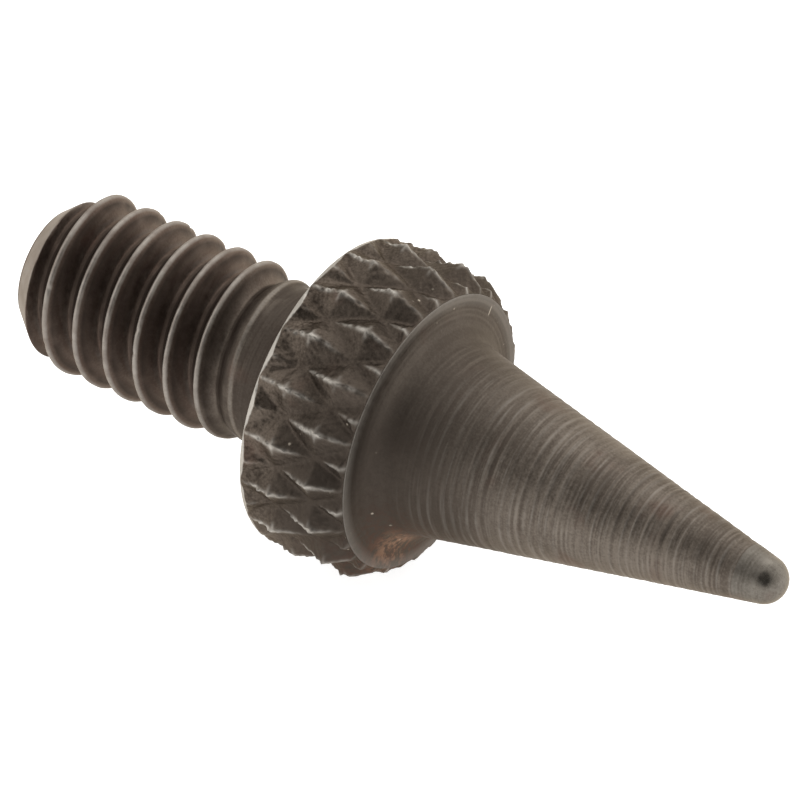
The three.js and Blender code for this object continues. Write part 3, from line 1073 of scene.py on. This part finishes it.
TENT_TINT = colour(1, 0.985, 0.96)
TENT_FAR_STRENGTH = 1.65
TENT_NEAR_STRENGTH = 1.1
TENT_SIDE = (0.0, 0.8)
OPENING = (0.7, 0.93)
OPENING_STRENGTH = 0.16
FLAG_DIRECTION = (-0.8, 0.4, 0.447)
FLAG = (0.75, 0.95)
FLAG_STRENGTH = 0.6
BACKDROP_STRENGTH = 1.2


def floor_material():
    material = bpy.data.materials.new("white_acrylic")
    material.use_nodes = True
    nodes = Nodes(material.node_tree)
    shader = nodes.add("ShaderNodeBsdfPrincipled")
    shader.inputs["Base Color"].default_value = colour(FLOOR_GREY, FLOOR_GREY, FLOOR_GREY)
    shader.inputs["Roughness"].default_value = FLOOR_ROUGHNESS
    shader.inputs["Emission Color"].default_value = colour(1, 1, 1)
    shader.inputs["Emission Strength"].default_value = FLOOR_GLOW
    nodes.finish("ShaderNodeOutputMaterial", shader.outputs["BSDF"])
    return material


def make_floor():
    half = FLOOR_HALF_SIZE
    height = cad_box[0].z
    corners = [(-half, -half, height), (half, -half, height), (half, half, height), (-half, half, height)]
    mesh = bpy.data.meshes.new("floor")
    mesh.from_pydata(corners, [], [(0, 1, 2, 3)])
    mesh.materials.append(floor_material())
    floor = bpy.data.objects.new("floor", mesh)
    bpy.context.scene.collection.objects.link(floor)


def view_axes():
    """Unit vectors to the right, up, and back from the object to the camera."""
    a = VIEW_AZIMUTH
    e = VIEW_ELEVATION
    back = Vector((math.sin(a) * math.cos(e), -math.cos(a) * math.cos(e), math.sin(e)))
    right = Vector((math.cos(a), math.sin(a), 0))
    return right, back.cross(right), back


def make_camera():
    right, up, back = view_axes()
    data = bpy.data.cameras.new("camera")
    data.sensor_width = 36
    data.lens = data.sensor_width * VIEW_DISTANCE / VIEW_WIDTH
    data.clip_start = 0.01
    data.clip_end = 10
    camera = bpy.data.objects.new("camera", data)
    camera.location = right * AIM_RIGHT + up * AIM_UP + back * VIEW_DISTANCE
    camera.rotation_euler = back.to_track_quat("Z", "Y").to_euler()
    bpy.context.scene.collection.objects.link(camera)
    bpy.context.scene.camera = camera


def make_softbox():
    """A large soft light, up and behind the object, that faces it."""
    data = bpy.data.lights.new("softbox", "AREA")
    data.shape = "RECTANGLE"
    data.size, data.size_y = SOFTBOX_SIZE
    data.energy = SOFTBOX_ENERGY
    softbox = bpy.data.objects.new("softbox", data)
    softbox.location = Vector(SOFTBOX_PLACE)
    softbox.rotation_euler = softbox.location.to_track_quat("Z", "Y").to_euler()
    bpy.context.scene.collection.objects.link(softbox)


def make_world():
    """A white tent, dimmer round the opening it is looked through and at a flag up at the left."""
    world = bpy.data.worlds.new("tent")
    bpy.context.scene.world = world
    world.use_nodes = True
    nodes = Nodes(world.node_tree)
    direction = nodes.add("ShaderNodeTexCoord").outputs["Generated"]
    facing = nodes.vector("DOT_PRODUCT", direction, view_axes()[2]).outputs["Value"]
    strength = nodes.ramp(facing, *TENT_SIDE, TENT_FAR_STRENGTH, TENT_NEAR_STRENGTH)
    strength = nodes.times(strength, nodes.ramp(facing, *OPENING, 1.0, OPENING_STRENGTH))
    flag = nodes.vector("DOT_PRODUCT", direction, FLAG_DIRECTION).outputs["Value"]
    strength = nodes.times(strength, nodes.ramp(flag, *FLAG, 1.0, FLAG_STRENGTH))
    tent = nodes.add("ShaderNodeBackground", Color=TENT_TINT, Strength=strength)
    backdrop = nodes.add("ShaderNodeBackground", Color=colour(1, 1, 1), Strength=BACKDROP_STRENGTH)
    seen = nodes.add("ShaderNodeLightPath").outputs["Is Camera Ray"]
    mixed = nodes.add("ShaderNodeMixShader")
    nodes.set(mixed.inputs[0], seen)
    nodes.set(mixed.inputs[1], tent.outputs[0])
    nodes.set(mixed.inputs[2], backdrop.outputs[0])
    nodes.finish("ShaderNodeOutputWorld", mixed.outputs[0])


threaded_body(oxide_steel("body_oxide", BODY_STEEL))
knurled_ring(oxide_steel("collar_oxide", COLLAR_STEEL))
ball_nose(oxide_steel("nose_oxide", NOSE_STEEL))
make_floor()
make_world()
make_softbox()
make_camera()
bpy.context.scene.view_settings.view_transform = "Standard"
